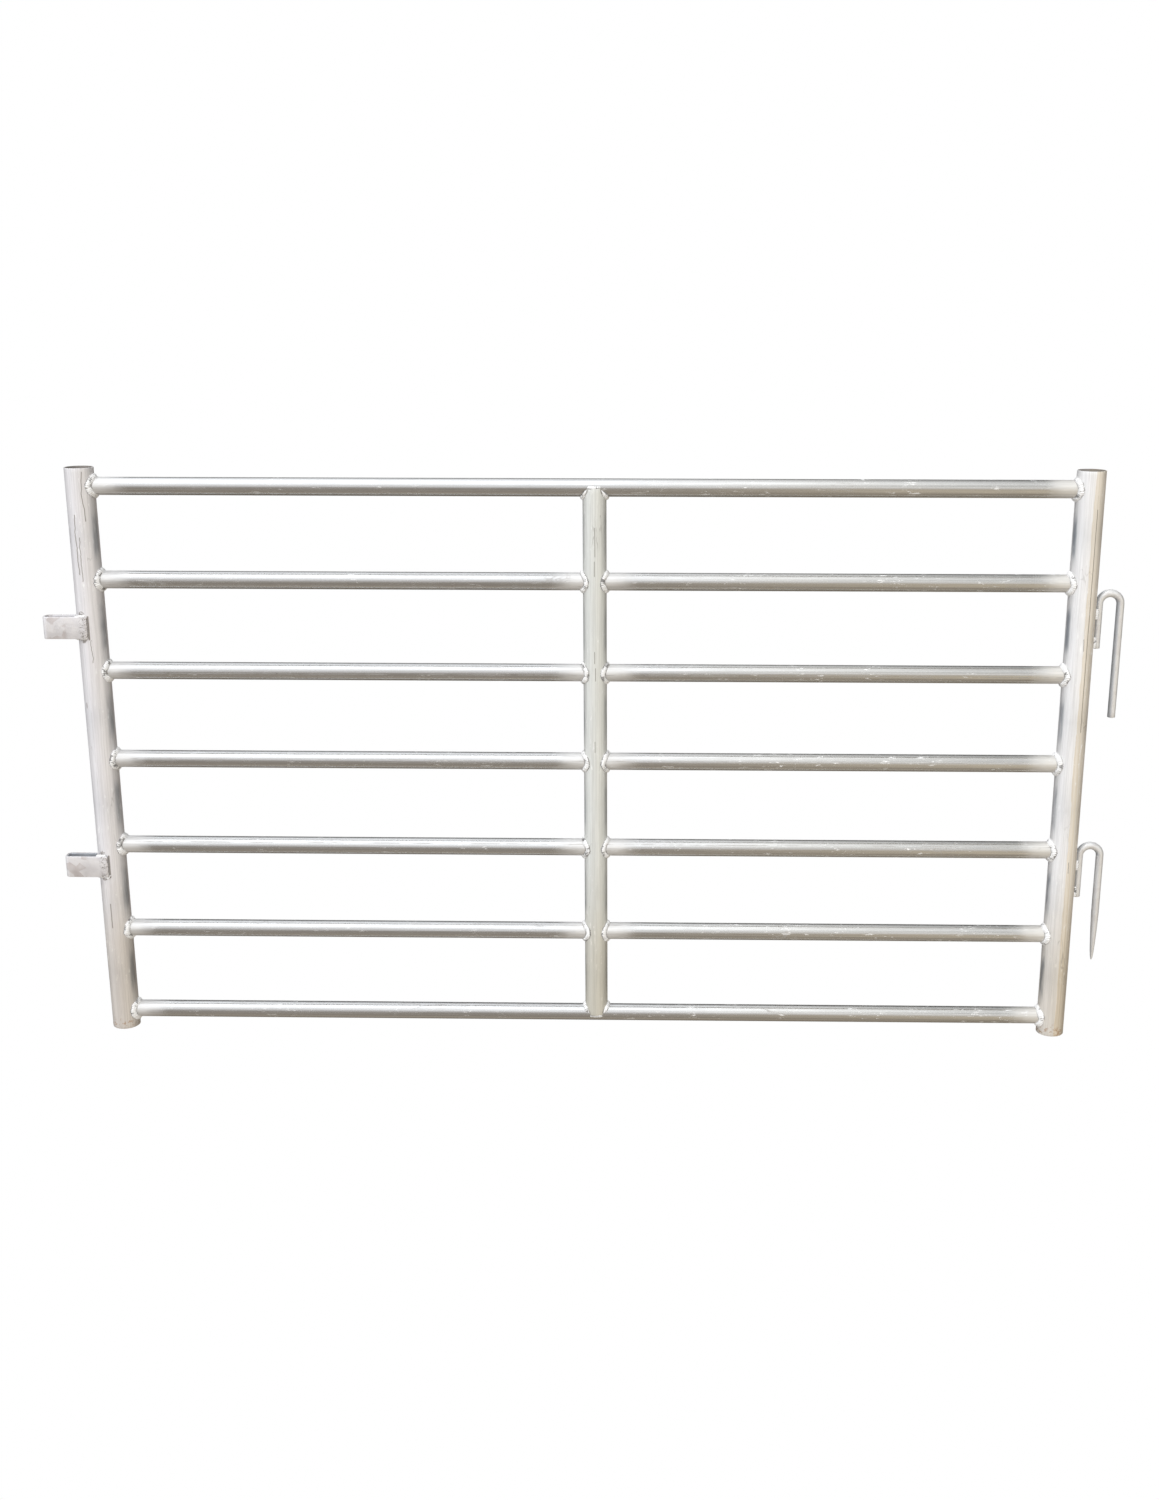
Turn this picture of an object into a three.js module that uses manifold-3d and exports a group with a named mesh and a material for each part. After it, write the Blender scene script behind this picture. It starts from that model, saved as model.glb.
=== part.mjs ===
// A welded tube livestock panel gate: two end posts, a centre stay and seven rails, with two strap
// loops on the left post and two rod hooks on the right post that link one panel to the next.
// Millimetres. X runs along the panel, Y through it and Z up. The origin is at ground level, in
// the middle of the panel's outer box.

import * as THREE from "three";
import { mergeVertices } from "three/addons/utils/BufferGeometryUtils.js";
import Module from "manifold-3d";

// ---------------------------------------------------------------- driving dimensions

const PANEL_WIDTH = 1829; // over the two end posts: six feet
const POST_HEIGHT = 1067; // three and a half feet
const POST = { diameter: 50.8, wall: 2.5 };
const STAY = { diameter: 42.4, wall: 2.5 };
const RAIL = { diameter: 31.8, wall: 2 };
const RAIL_COUNT = 7;
const END_MARGIN = 33; // from a post's end to the nearest rail's axis
const STAY_OFFSET = 20; // the stay stands this far to the right of the middle

const STAY_COPE = 17.4; // radius that the stay's ends are cut to, round a rail

const LOOP = { height: 40, thickness: 5, reach: 80, slot: 16, bend: 3 };
const LOOP_HEIGHTS = { upper_loop: 784, lower_loop: 331 }; // middle of the strap

const HOOK = { rod: 14, legSpacing: 38, drop: 235, weldedLeg: 107, setBack: 6 };
const HOOK_TOPS = { upper_hook: 856, lower_hook: 381 }; // crown of the bend
const POINT = { length: 95, tipRadius: 1.2, blunting: 0.4, crowding: 1.5 }; // of the lower hook

const WELD_LEG = 5; // size of the fillet round a tube's end
const STAY_WELD_LEG = 4;
const WELD_CROWN = 0.62; // how far a fillet stands out, as a share of its full corner
const STAY_BEAD_RADIUS = 3;
const SEAT_SOFTNESS = 40; // square millimetres, eases the stay's bead off the side of the rail
const HOOK_WELD = { length: 14, radius: 4.2, groove: 1.6, heights: [44, 96] }; // below the crown
const LOOP_WELD = { radius: 3.6, from: -20, to: -4, backLength: 28, overlap: 1 };
const GAP = 0.3; // between neighbouring solids
const SEAT_GAP = 0.6; // where flat faces cut across the curve of a seat
const AMPLE = 300; // length of a tool that cuts right through
const STAY_TOOL_DROP = 0.9; // sinks the stay's cutting tool so that it parts the bead cleanly
const SMALLEST_EDGE = 0.05; // left by a cut
const SAME_PLACE = 0.001; // corners nearer than this are one

const TUBE_SIDES = 24;
const STAY_SIDES = 48; // its ends curve sharply round the rails
const STAY_BEAD_STEPS = 32;
const STAY_BEAD_SIDES = 6;
const ROD_SIDES = 12;
const RUN_SIDES = 8;
const RUN_CAP_STEPS = 3; // in the round end of a straight weld
const STRAP_BEND_STEPS = 4; // along a quarter turn
const BEND_STEPS = 10; // along a hook's half turn
const POINT_STEPS = 7;

// ---------------------------------------------------------------- derived sizes

const POST_RADIUS = POST.diameter / 2;
const POST_X = PANEL_WIDTH / 2 - POST_RADIUS;
const RAIL_PITCH = (POST_HEIGHT - 2 * END_MARGIN) / (RAIL_COUNT - 1);
const railHeight = (number) => POST_HEIGHT - END_MARGIN - (number - 1) * RAIL_PITCH;

// The hooks' welded legs touch the post a little behind its outermost line.
const ROD_RADIUS = HOOK.rod / 2;
const ROD_DISTANCE = POST_RADIUS + GAP + ROD_RADIUS; // from the post's axis to the leg's
const HOOK_TURN = Math.asin(HOOK.setBack / ROD_DISTANCE);
const WELDED_LEG_X = ROD_DISTANCE * Math.cos(HOOK_TURN);
const FREE_LEG_X = WELDED_LEG_X + HOOK.legSpacing;
const HOOK_REACH = FREE_LEG_X + ROD_RADIUS;

const LOOP_INNER_FACE = POST_RADIUS + GAP; // the front leg lies against the post's front
const LOOP_FRONT = LOOP_INNER_FACE + LOOP.thickness;

// ---------------------------------------------------------------- materials

const finish = (name, color, roughness) =>
  new THREE.MeshStandardMaterial({ name, color, roughness, metalness: 1 });
const GALVANISED = finish("galvanised_tube", 0xc8cbcd, 0.42);
const ZINC_PAINT = finish("zinc_painted_steel", 0xc4c5c4, 0.6);
const WELD = finish("weld_bead", 0xd9dada, 0.5);

// ---------------------------------------------------------------- helpers

function named(name, geometry, material) {
  const mesh = new THREE.Mesh(geometry, material);
  mesh.name = name;
  return mesh;
}

function moveVertices(geometry, place) {
  const position = geometry.getAttribute("position");
  const point = new THREE.Vector3();
  for (let i = 0; i < position.count; i++) {
    place(point.fromBufferAttribute(position, i), i);
    position.setXYZ(i, point.x, point.y, point.z);
  }
  return geometry;
}

// How far a round seat of this radius stands out from its axis, at the distance y to one side.
const seatHeight = (radius, y) => Math.sqrt(Math.max(0, radius ** 2 - y ** 2));

// A tube along +Z. Each end is a saddle that fits round a cross tube along X, whose axis lies at
// that end and whose radius is given; a seat of 0 leaves the end square.
function copedTube({ diameter, wall }, length, startSeat = 0, endSeat = 0, sides = TUBE_SIDES) {
  const outer = diameter / 2;
  const inner = outer - wall;
  const profile = [
    new THREE.Vector2(inner, 0),
    new THREE.Vector2(outer, 0),
    new THREE.Vector2(outer, length),
    new THREE.Vector2(inner, length),
    new THREE.Vector2(inner, 0),
  ];
  const tube = new THREE.LatheGeometry(profile, sides).rotateX(Math.PI / 2);
  return moveVertices(tube, (point) => {
    const atStart = point.z < length / 2;
    const seat = seatHeight(atStart ? startSeat : endSeat, point.y);
    point.z = atStart ? seat : length - seat;
  });
}

const wasm = await Module();
wasm.setup();

function solid(geometry) {
  const bare = geometry.clone();
  bare.deleteAttribute("normal");
  bare.deleteAttribute("uv");
  const merged = mergeVertices(bare, SAME_PLACE);
  return new wasm.Manifold(
    new wasm.Mesh({
      numProp: 3,
      vertProperties: merged.getAttribute("position").array,
      triVerts: new Uint32Array(merged.index.array),
    }),
  );
}

function cut(geometry, ...tools) {
  const rest = tools.reduce((left, tool) => left.subtract(solid(tool)), solid(geometry));
  const mesh = rest.simplify(SMALLEST_EDGE).getMesh();
  const result = new THREE.BufferGeometry();
  result.setAttribute("position", new THREE.BufferAttribute(mesh.vertProperties, 3));
  result.setIndex(new THREE.BufferAttribute(mesh.triVerts, 1));
  result.computeVertexNormals();
  return result;
}

// ---------------------------------------------------------------- welds

// The fillet round a tube along +Z where it lands on a wider cross tube along X: a closed ring
// of four-cornered section. One corner lies in the root, one on each tube, and one is the crown.
function saddleBead(tube, seat, leg) {
  const ring = 2; // radius of the ring before it is bent, with a section of radius 1
  const tubeRadius = tube.diameter / 2 + GAP;
  const seatRadius = seat.diameter / 2 + SEAT_GAP;
  const torus = new THREE.TorusGeometry(ring, 1, 4, TUBE_SIDES);
  return moveVertices(torus, (point) => {
    const angle = Math.atan2(point.y, point.x);
    const across = Math.hypot(point.x, point.y) - ring;
    const square = { out: (across - point.z + 1) / 2, up: (across + point.z + 1) / 2 };
    const shrink = 1 - (1 - WELD_CROWN) * square.out * square.up;
    const radius = tubeRadius + leg * square.out * shrink;
    point.x = radius * Math.cos(angle);
    point.y = radius * Math.sin(angle);
    point.z = seatHeight(seatRadius, point.y) + leg * square.up * shrink;
  });
}

// A round bead of weld that follows a closed curve.
function closedBead(curve, radius, steps, sides) {
  const { normals, binormals } = curve.computeFrenetFrames(steps, true);
  const torus = new THREE.TorusGeometry(2, 1, sides, steps);
  return moveVertices(torus, (point, index) => {
    const side = Math.floor(index / (steps + 1));
    const step = index % (steps + 1);
    const turn = (-side / sides) * 2 * Math.PI;
    curve.getPointAt((step % steps) / steps, point);
    point.addScaledVector(normals[step % steps], radius * Math.cos(turn));
    point.addScaledVector(binormals[step % steps], radius * Math.sin(turn));
  });
}

// The height of a seat that runs out smoothly past its sides instead of ending at a corner.
function softSeatHeight(radius, y) {
  const square = radius ** 2 - y ** 2;
  return Math.sqrt((square + Math.hypot(square, SEAT_SOFTNESS)) / 2);
}

// The bead round the fish-mouthed end of the stay, which is wider than the rail it laps.
function stayBead() {
  const rim = [];
  for (let i = 0; i < STAY_BEAD_STEPS; i++) {
    const angle = (i / STAY_BEAD_STEPS) * 2 * Math.PI;
    const y = (STAY.diameter / 2) * Math.sin(angle);
    const x = (STAY.diameter / 2) * Math.cos(angle);
    rim.push(new THREE.Vector3(x, y, softSeatHeight(RAIL.diameter / 2, y)));
  }
  const curve = new THREE.CatmullRomCurve3(rim, true);
  const bead = closedBead(curve, STAY_BEAD_RADIUS, STAY_BEAD_STEPS, STAY_BEAD_SIDES);
  const railRadius = RAIL.diameter / 2 + GAP;
  const rail = new THREE.CylinderGeometry(railRadius, railRadius, AMPLE, TUBE_SIDES);
  rail.rotateZ(Math.PI / 2);
  const grown = { diameter: STAY.diameter + 2 * GAP, wall: STAY.wall + 2 * GAP };
  const stay = copedTube(grown, AMPLE, STAY_COPE - SEAT_GAP, 0, STAY_SIDES);
  stay.translate(0, 0, -STAY_TOOL_DROP);
  const boreRadius = STAY.diameter / 2 - STAY.wall / 2;
  const bore = new THREE.CylinderGeometry(boreRadius, boreRadius, AMPLE, TUBE_SIDES);
  bore.rotateX(Math.PI / 2).translate(0, 0, AMPLE / 2);
  return cut(bead, rail, stay, bore);
}

// A straight run of weld between two points.
function weldRun(start, end, radius) {
  const axis = new THREE.Vector3().subVectors(end, start);
  const run = new THREE.CapsuleGeometry(radius, axis.length(), RUN_CAP_STEPS, RUN_SIDES);
  const up = new THREE.Vector3(0, 1, 0);
  run.applyQuaternion(new THREE.Quaternion().setFromUnitVectors(up, axis.clone().normalize()));
  return run.translate(...start.clone().add(end).multiplyScalar(0.5));
}

// ---------------------------------------------------------------- frame

function posts() {
  return [
    ["left_end_post", -POST_X],
    ["right_end_post", POST_X],
  ].map(([name, x]) => {
    const post = named(name, copedTube(POST, POST_HEIGHT), GALVANISED);
    post.position.x = x;
    return post;
  });
}

function centreStay() {
  const length = railHeight(1) - railHeight(RAIL_COUNT);
  const tube = copedTube(STAY, length, STAY_COPE, STAY_COPE, STAY_SIDES);
  const stay = named("centre_stay", tube, ZINC_PAINT);
  stay.position.set(STAY_OFFSET, 0, railHeight(RAIL_COUNT));
  return stay;
}

// The places where a rail can end: on a post, or on either side of the stay.
const LEFT_POST = { place: "left_post", x: -POST_X, section: POST, weldLeg: WELD_LEG };
const RIGHT_POST = { place: "right_post", x: POST_X, section: POST, weldLeg: WELD_LEG };
const STAY_SIDE = { x: STAY_OFFSET, section: STAY, weldLeg: STAY_WELD_LEG };
const STAY_LEFT = { place: "stay_left", ...STAY_SIDE };
const STAY_RIGHT = { place: "stay_right", ...STAY_SIDE };

// A rail, numbered from the top, with a weld round each of its ends.
function weldedRail(name, number, left, right) {
  const height = railHeight(number);
  const seats = [left, right].map((end) => end.section.diameter / 2 + GAP);
  const rail = named(name, copedTube(RAIL, right.x - left.x, ...seats), GALVANISED);
  rail.rotation.y = Math.PI / 2;
  rail.position.set(left.x, 0, height);
  const welds = [left, right].map((end) => {
    const bead = saddleBead(RAIL, end.section, end.weldLeg);
    const weld = named(`weld_rail_${number}_${end.place}`, bead, WELD);
    weld.rotation.y = end === left ? Math.PI / 2 : -Math.PI / 2;
    weld.position.set(end.x, 0, height);
    return weld;
  });
  return [rail, ...welds];
}

function rails() {
  const made = [
    ...weldedRail("top_rail", 1, LEFT_POST, RIGHT_POST),
    ...weldedRail("bottom_rail", RAIL_COUNT, LEFT_POST, RIGHT_POST),
  ];
  for (let number = 2; number < RAIL_COUNT; number++) {
    made.push(...weldedRail(`rail_${number}_left`, number, LEFT_POST, STAY_LEFT));
    made.push(...weldedRail(`rail_${number}_right`, number, STAY_RIGHT, RIGHT_POST));
  }
  return made;
}

function stayWelds() {
  const top = named("weld_stay_top", stayBead(), WELD);
  top.rotation.x = Math.PI;
  top.position.set(STAY_OFFSET, 0, railHeight(1));
  const bottom = named("weld_stay_bottom", stayBead(), WELD);
  bottom.position.set(STAY_OFFSET, 0, railHeight(RAIL_COUNT));
  return [top, bottom];
}

// ---------------------------------------------------------------- loops

// The strap seen from above, bent into a narrow U that opens towards the post.
function loopOutline() {
  const { thickness, reach, slot, bend } = LOOP;
  const outerBend = bend + thickness;
  const backInner = -LOOP_INNER_FACE + slot;
  const backOuter = backInner + thickness;
  const backEnd = -POST_RADIUS - GAP;
  const outline = new THREE.Shape();
  outline.moveTo(0, -LOOP_FRONT);
  outline.lineTo(-reach + outerBend, -LOOP_FRONT);
  outline.absarc(-reach + outerBend, -LOOP_FRONT + outerBend, outerBend, -Math.PI / 2, -Math.PI, true);
  outline.absarc(-reach + outerBend, backOuter - outerBend, outerBend, Math.PI, Math.PI / 2, true);
  outline.lineTo(backEnd, backOuter);
  outline.lineTo(backEnd, backInner);
  outline.absarc(-reach + outerBend, backInner - bend, bend, Math.PI / 2, Math.PI, false);
  outline.absarc(-reach + outerBend, -LOOP_INNER_FACE + bend, bend, Math.PI, 1.5 * Math.PI, false);
  outline.lineTo(0, -LOOP_INNER_FACE);
  return outline;
}

function strapLoop() {
  const options = { depth: LOOP.height, bevelEnabled: false, curveSegments: STRAP_BEND_STEPS };
  return new THREE.ExtrudeGeometry(loopOutline(), options).translate(0, 0, -LOOP.height / 2);
}

// A box that just encloses a leg of the strap, for cutting the welds back from it.
function strapLeg(x0, x1, y0, y1) {
  const size = [x1 - x0 + 2 * GAP, y1 - y0 + 2 * GAP, LOOP.height + 2 * GAP];
  return new THREE.BoxGeometry(...size).translate((x0 + x1) / 2, (y0 + y1) / 2, 0);
}

function postBlank() {
  const radius = POST_RADIUS + GAP;
  return new THREE.CylinderGeometry(radius, radius, AMPLE, STAY_SIDES).rotateX(Math.PI / 2);
}

function loopWelds(name) {
  const edge = LOOP.height / 2 + LOOP_WELD.overlap;
  const backInner = -LOOP_INNER_FACE + LOOP.slot;
  const backOuter = backInner + LOOP.thickness;
  const frontLeg = strapLeg(-LOOP.reach, 0, -LOOP_FRONT, -LOOP_INNER_FACE);
  const backLeg = strapLeg(-LOOP.reach, -POST_RADIUS - GAP, backInner, backOuter);
  const frontY = -LOOP_FRONT + LOOP_WELD.radius;
  const backY = backOuter + LOOP_WELD.overlap;
  const alongFront = (z) =>
    weldRun(
      new THREE.Vector3(LOOP_WELD.from, frontY, z),
      new THREE.Vector3(LOOP_WELD.to, frontY, z),
      LOOP_WELD.radius,
    );
  const downBack = weldRun(
    new THREE.Vector3(-POST_RADIUS, backY, -LOOP_WELD.backLength / 2),
    new THREE.Vector3(-POST_RADIUS, backY, LOOP_WELD.backLength / 2),
    LOOP_WELD.radius,
  );
  return [
    named(`weld_${name}_top`, cut(alongFront(edge), frontLeg, postBlank()), WELD),
    named(`weld_${name}_bottom`, cut(alongFront(-edge), frontLeg, postBlank()), WELD),
    named(`weld_${name}_back`, cut(downBack, backLeg, postBlank()), WELD),
  ];
}

function loops() {
  return Object.entries(LOOP_HEIGHTS).map(([name, height]) => {
    const group = new THREE.Group();
    group.add(named(name, strapLoop(), ZINC_PAINT), ...loopWelds(name));
    group.position.set(-POST_X, 0, height);
    return group;
  });
}

// ---------------------------------------------------------------- hooks

// Places along the rod's centre line, from the end of the welded leg to the tip, each with the
// direction of the rod's outer side as an angle from +X. The crown of the bend is at z = 0.
function hookStations(pointed) {
  const bendRadius = HOOK.legSpacing / 2;
  const bendX = WELDED_LEG_X + bendRadius;
  const bendZ = -ROD_RADIUS - bendRadius;
  const stations = [{ x: WELDED_LEG_X, z: -HOOK.weldedLeg, side: Math.PI, radius: ROD_RADIUS }];
  for (let i = 0; i <= BEND_STEPS; i++) {
    const side = Math.PI * (1 - i / BEND_STEPS);
    const x = bendX + bendRadius * Math.cos(side);
    const z = bendZ + bendRadius * Math.sin(side);
    stations.push({ x, z, side, radius: ROD_RADIUS });
  }
  // A point narrows slowly at first and quickly near the tip.
  const down = (share, radius) => {
    const z = -HOOK.drop + POINT.length * share;
    stations.push({ x: FREE_LEG_X, z, side: 0, radius });
  };
  for (let i = 0; pointed && i < POINT_STEPS; i++) {
    const share = (1 - i / POINT_STEPS) ** POINT.crowding;
    down(share, ROD_RADIUS * share ** POINT.blunting);
  }
  down(0, pointed ? POINT.tipRadius : ROD_RADIUS);
  return stations;
}

function hookRod(pointed) {
  const stations = hookStations(pointed);
  const rows = stations.length - 1;
  const rod = new THREE.CylinderGeometry(1, 1, rows, ROD_SIDES, rows);
  return moveVertices(rod, (point) => {
    const station = stations[Math.round(rows / 2 - point.y)];
    const outward = point.x * station.radius;
    const across = -point.z * station.radius;
    point.x = station.x + outward * Math.cos(station.side);
    point.y = across;
    point.z = station.z + outward * Math.sin(station.side);
  });
}

// Two short welds down the welded leg, each with one run in front of the rod and one behind it.
function hookWelds(name) {
  const clear = ROD_RADIUS + GAP;
  const rod = new THREE.CylinderGeometry(clear, clear, AMPLE, TUBE_SIDES);
  rod.rotateX(Math.PI / 2).translate(ROD_DISTANCE, 0, 0);
  const grooveX = POST_RADIUS + HOOK_WELD.groove;
  const grooveY = ROD_RADIUS;
  const welds = [];
  HOOK_WELD.heights.forEach((below, i) => {
    for (const [face, sign] of [["front", -1], ["back", 1]]) {
      const low = new THREE.Vector3(grooveX, sign * grooveY, -below - HOOK_WELD.length / 2);
      const high = new THREE.Vector3(grooveX, sign * grooveY, -below + HOOK_WELD.length / 2);
      const run = cut(weldRun(low, high, HOOK_WELD.radius), rod, postBlank()).rotateZ(HOOK_TURN);
      welds.push(named(`weld_${name}_${i + 1}_${face}`, run, WELD));
    }
  });
  return welds;
}

function hooks() {
  return Object.entries(HOOK_TOPS).map(([name, top]) => {
    const group = new THREE.Group();
    const rod = hookRod(name === "lower_hook").translate(0, HOOK.setBack, 0);
    group.add(named(name, rod, ZINC_PAINT), ...hookWelds(name));
    group.position.set(POST_X, 0, top);
    return group;
  });
}

// ---------------------------------------------------------------- assembly

const panel = new THREE.Group();
panel.name = "livestock_panel_gate";
panel.add(...posts(), centreStay(), ...rails(), ...stayWelds(), ...loops(), ...hooks());

// The loops reach further to the left and to the front than the hooks and posts do to the right
// and to the back, so the panel is moved by half of each difference.
panel.position.set((LOOP.reach - HOOK_REACH) / 2, (LOOP_FRONT - POST_RADIUS) / 2, 0);

const root = new THREE.Group();
root.add(panel);

export default root;
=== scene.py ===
"""The looks of a welded tube livestock panel gate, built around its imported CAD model.

Every tube, weld, strap loop and rod hook is made again here as a fine mesh in the CAD model's own
frame, in metres, with the galvanised and painted steel that the real one has.
"""

import math
from collections import namedtuple

import bmesh
import bpy
from mathutils import Matrix, Vector, noise


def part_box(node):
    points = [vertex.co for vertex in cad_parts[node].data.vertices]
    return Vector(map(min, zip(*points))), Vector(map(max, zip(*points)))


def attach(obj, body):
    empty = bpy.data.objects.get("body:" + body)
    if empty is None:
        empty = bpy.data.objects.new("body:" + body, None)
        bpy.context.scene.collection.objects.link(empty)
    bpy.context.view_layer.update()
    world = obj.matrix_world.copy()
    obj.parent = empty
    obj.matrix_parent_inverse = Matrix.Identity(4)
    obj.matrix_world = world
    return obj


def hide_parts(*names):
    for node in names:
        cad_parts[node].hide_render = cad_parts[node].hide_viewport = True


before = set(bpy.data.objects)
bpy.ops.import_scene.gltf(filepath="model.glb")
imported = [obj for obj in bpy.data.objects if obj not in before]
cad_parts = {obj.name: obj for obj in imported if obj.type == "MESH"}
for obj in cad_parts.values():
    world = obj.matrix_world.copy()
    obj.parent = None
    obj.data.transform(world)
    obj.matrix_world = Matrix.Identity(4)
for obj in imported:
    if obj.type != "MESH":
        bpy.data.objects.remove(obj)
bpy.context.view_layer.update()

# -------------------------------- sizes, in metres

MM = 0.001
POST_WALL = 2.5 * MM
STAY_WALL = 2.5 * MM
RAIL_WALL = 2.0 * MM
RIM_ROUND = 0.5 * MM  # rounding of a tube's cut edge
SWELL = 0.0008  # how much a tube's radius wanders, as a share of it
SWELL_WAVES = 9  # in a metre
STAY_COPE = 17.4 * MM  # radius that the stay's ends are cut to
GAP = 0.3 * MM  # between neighbouring pieces
RAIL_NUMBERS = range(1, 8)  # from the top
THROUGH_RAILS = (RAIL_NUMBERS[0], RAIL_NUMBERS[-1])  # in one length, over and under the stay

STRAP_THICKNESS = 5 * MM
STRAP_BEND = 3 * MM  # inside radius
STRAP_EDGE = 0.9 * MM  # rounding of its edges and ends
STRAP_LEAST_EDGE = 0.2 * MM  # left of it on the cut ends

ROD_EDGE = 0.8 * MM  # rounding of a hook's cut ends
POINT_LENGTH = 95 * MM  # the lower hook tapers over its last stretch
TIP_RADIUS = 1.2 * MM
WELDED_LEG = 81 * MM  # straight part of a hook's short leg, below the bend

# Half the width of a bead across its run, and how far it stands out from its middle.
POST_WELD = {"width": 6.0 * MM, "height": 3.6 * MM}
STAY_WELD = {"width": 4.8 * MM, "height": 3.0 * MM}
LOOP_WELD = {"width": 3.1 * MM, "height": 2.6 * MM}
HOOK_WELD = {"width": 4.0 * MM, "height": 2.8 * MM}
WELD_LIFT = 1.4 * MM  # of a bead's middle, out of the corner that it fills
RIPPLE_PITCH = 3.2 * MM
STAY_WELD_OUT = 0.8 * MM  # the stay's bead stands off its front and back
EAR_WELD_IN = 2.8 * MM  # and is sunk into its sides, where they lap the rail like ears
EAR_WELD_DOWN = 1.8 * MM  # and sits lower there
SPATTER = {"spread": (5 * MM, MM, 4 * MM), "count": 16, "radius": 1.7 * MM}
HOOK_WELD_OUT = 1.4 * MM  # from the post's surface, along the line from post to hook
HOOK_WELD_ASIDE = 5.6 * MM  # from that line, to the front and to the back
SMALL_WELD_INSET = 8 * MM  # the painted shade in the corners, and the silver paint, reach less far from the small welds of loops and hooks

# -------------------------------- members, from the CAD boxes

Member = namedtuple("Member", "x y z radius low high")


def member(node):
    """A straight round member: its middle, its radius, which is half its depth, and its corners."""
    low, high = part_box(node)
    x, y, z = (low + high) / 2
    return Member(x, y, z, (high.y - low.y) / 2, low, high)


def rail_node(number, side):
    if number == 1:
        return "top_rail"
    if number == RAIL_NUMBERS[-1]:
        return "bottom_rail"
    return f"rail_{number}_{side}"


LEFT_POST = member("left_end_post")
RIGHT_POST = member("right_end_post")
STAY = member("centre_stay")
RAIL_HEIGHTS = {number: member(rail_node(number, "left")).z for number in RAIL_NUMBERS}
RAIL_RADIUS = member("top_rail").radius


# -------------------------------- meshes

class Shape:
    """Points and faces that grow shell by shell. Each point has the numbers that materials read:
    weld_distance in metres, the painted shade mark from 0 to 1, on weld beads, loops and hooks,
    bore, which is 1 inside a tube, and seam_distance in metres."""

    MARKS = ("weld_distance", "painted_shade", "bore", "seam_distance")
    FAR = 1.0

    def __init__(self):
        self.points = []
        self.faces = []
        self.marks = {mark: [] for mark in self.MARKS}

    def add_rings(self, rings, closed=False, marks=None):
        """Joins rings of points, each closed on itself. marks holds a list of rings for a mark."""
        first = len(self.points)
        count = len(rings[0])
        total = len(rings)
        for ring in rings:
            self.points.extend(ring)
        for i in range(total if closed else total - 1):
            here = first + i * count
            there = first + (i + 1) % total * count
            for k in range(count):
                beside = (k + 1) % count
                self.faces.append((here + k, here + beside, there + beside, there + k))
        if not closed:
            self.faces.append(tuple(range(first, first + count)))
            self.faces.append(tuple(range(len(self.points) - count, len(self.points))))
        for mark in self.MARKS:
            default = self.FAR if mark.endswith("distance") else 0.0
            given = (marks or {}).get(mark)
            values = [v for ring in given for v in ring] if given else [default] * count * total
            self.marks[mark].extend(values)

    def piece(self, node, material, slot):
        """Makes the mesh object that stands for a CAD node."""
        mesh = bpy.data.meshes.new(node)
        mesh.from_pydata(self.points, [], self.faces)
        for mark, values in self.marks.items():
            layer = mesh.attributes.new(mark, "FLOAT", "POINT")
            layer.data.foreach_set("value", values)
        work = bmesh.new()
        work.from_mesh(mesh)
        bmesh.ops.recalc_face_normals(work, faces=work.faces)
        work.to_mesh(mesh)
        work.free()
        mesh.shade_smooth()
        mesh.set_sharp_from_angle(angle=math.radians(50))
        mesh.materials.append(material)
        piece = bpy.data.objects.new(f"{node}_fine", mesh)
        bpy.context.scene.collection.objects.link(piece)
        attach(piece, "root")
        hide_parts(node)


def seat_height(radius, side):
    """How far a round seat stands out from its axis, at this distance to one side of it."""
    return math.sqrt(max(0.0, radius * radius - side * side))


def smoothstep(value, low, high):
    t = min(1.0, max(0.0, (value - low) / (high - low)))
    return t * t * (3 - 2 * t)


def wobble(point, per_metre, seed):
    """Smooth noise from -1 to 1."""
    return noise.noise(Vector(point) * per_metre + Vector((seed * 7.3, seed * 3.1, seed * 5.7)))


def arc_steps(start, end, steps):
    return [start + (end - start) * i / steps for i in range(steps + 1)]


# -------------------------------- tubes

def tube_angles(sides, seam):
    """Even angles round a tube, with more of them beside its seam."""
    angles = [2 * math.pi * i / sides for i in range(sides)]
    gap = math.pi / sides
    angles = [a for a in angles if abs((a - seam + math.pi) % (2 * math.pi) - math.pi) > gap]
    angles += [(seam + gap * share) % (2 * math.pi) for share in (-0.7, -0.35, 0, 0.35, 0.7)]
    return sorted(angles)


def tube_profile(radius, wall, length, step):
    """Places along a tube's section: (share of the length, inset from the end, radius, bore)."""
    inner = radius - wall
    stations = max(2, round(length / step))
    corner = [(1 - math.sin(a), 1 - math.cos(a)) for a in arc_steps(0, math.pi / 2, 3)]
    rim = [(RIM_ROUND * inset, radius - RIM_ROUND * drop, 0) for inset, drop in corner]
    rim += [(RIM_ROUND * inset, inner + RIM_ROUND * drop, 1) for inset, drop in reversed(corner)]
    profile = [(i / stations, RIM_ROUND, radius, 0) for i in range(1, stations)]
    profile += [(1, inset, r, bore) for inset, r, bore in rim]
    profile += [(share, RIM_ROUND, inner, 1) for share in (0.97, 0.8, 0.5, 0.2, 0.03)]
    profile += [(0, inset, r, bore) for inset, r, bore in reversed(rim)]
    return profile


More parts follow.
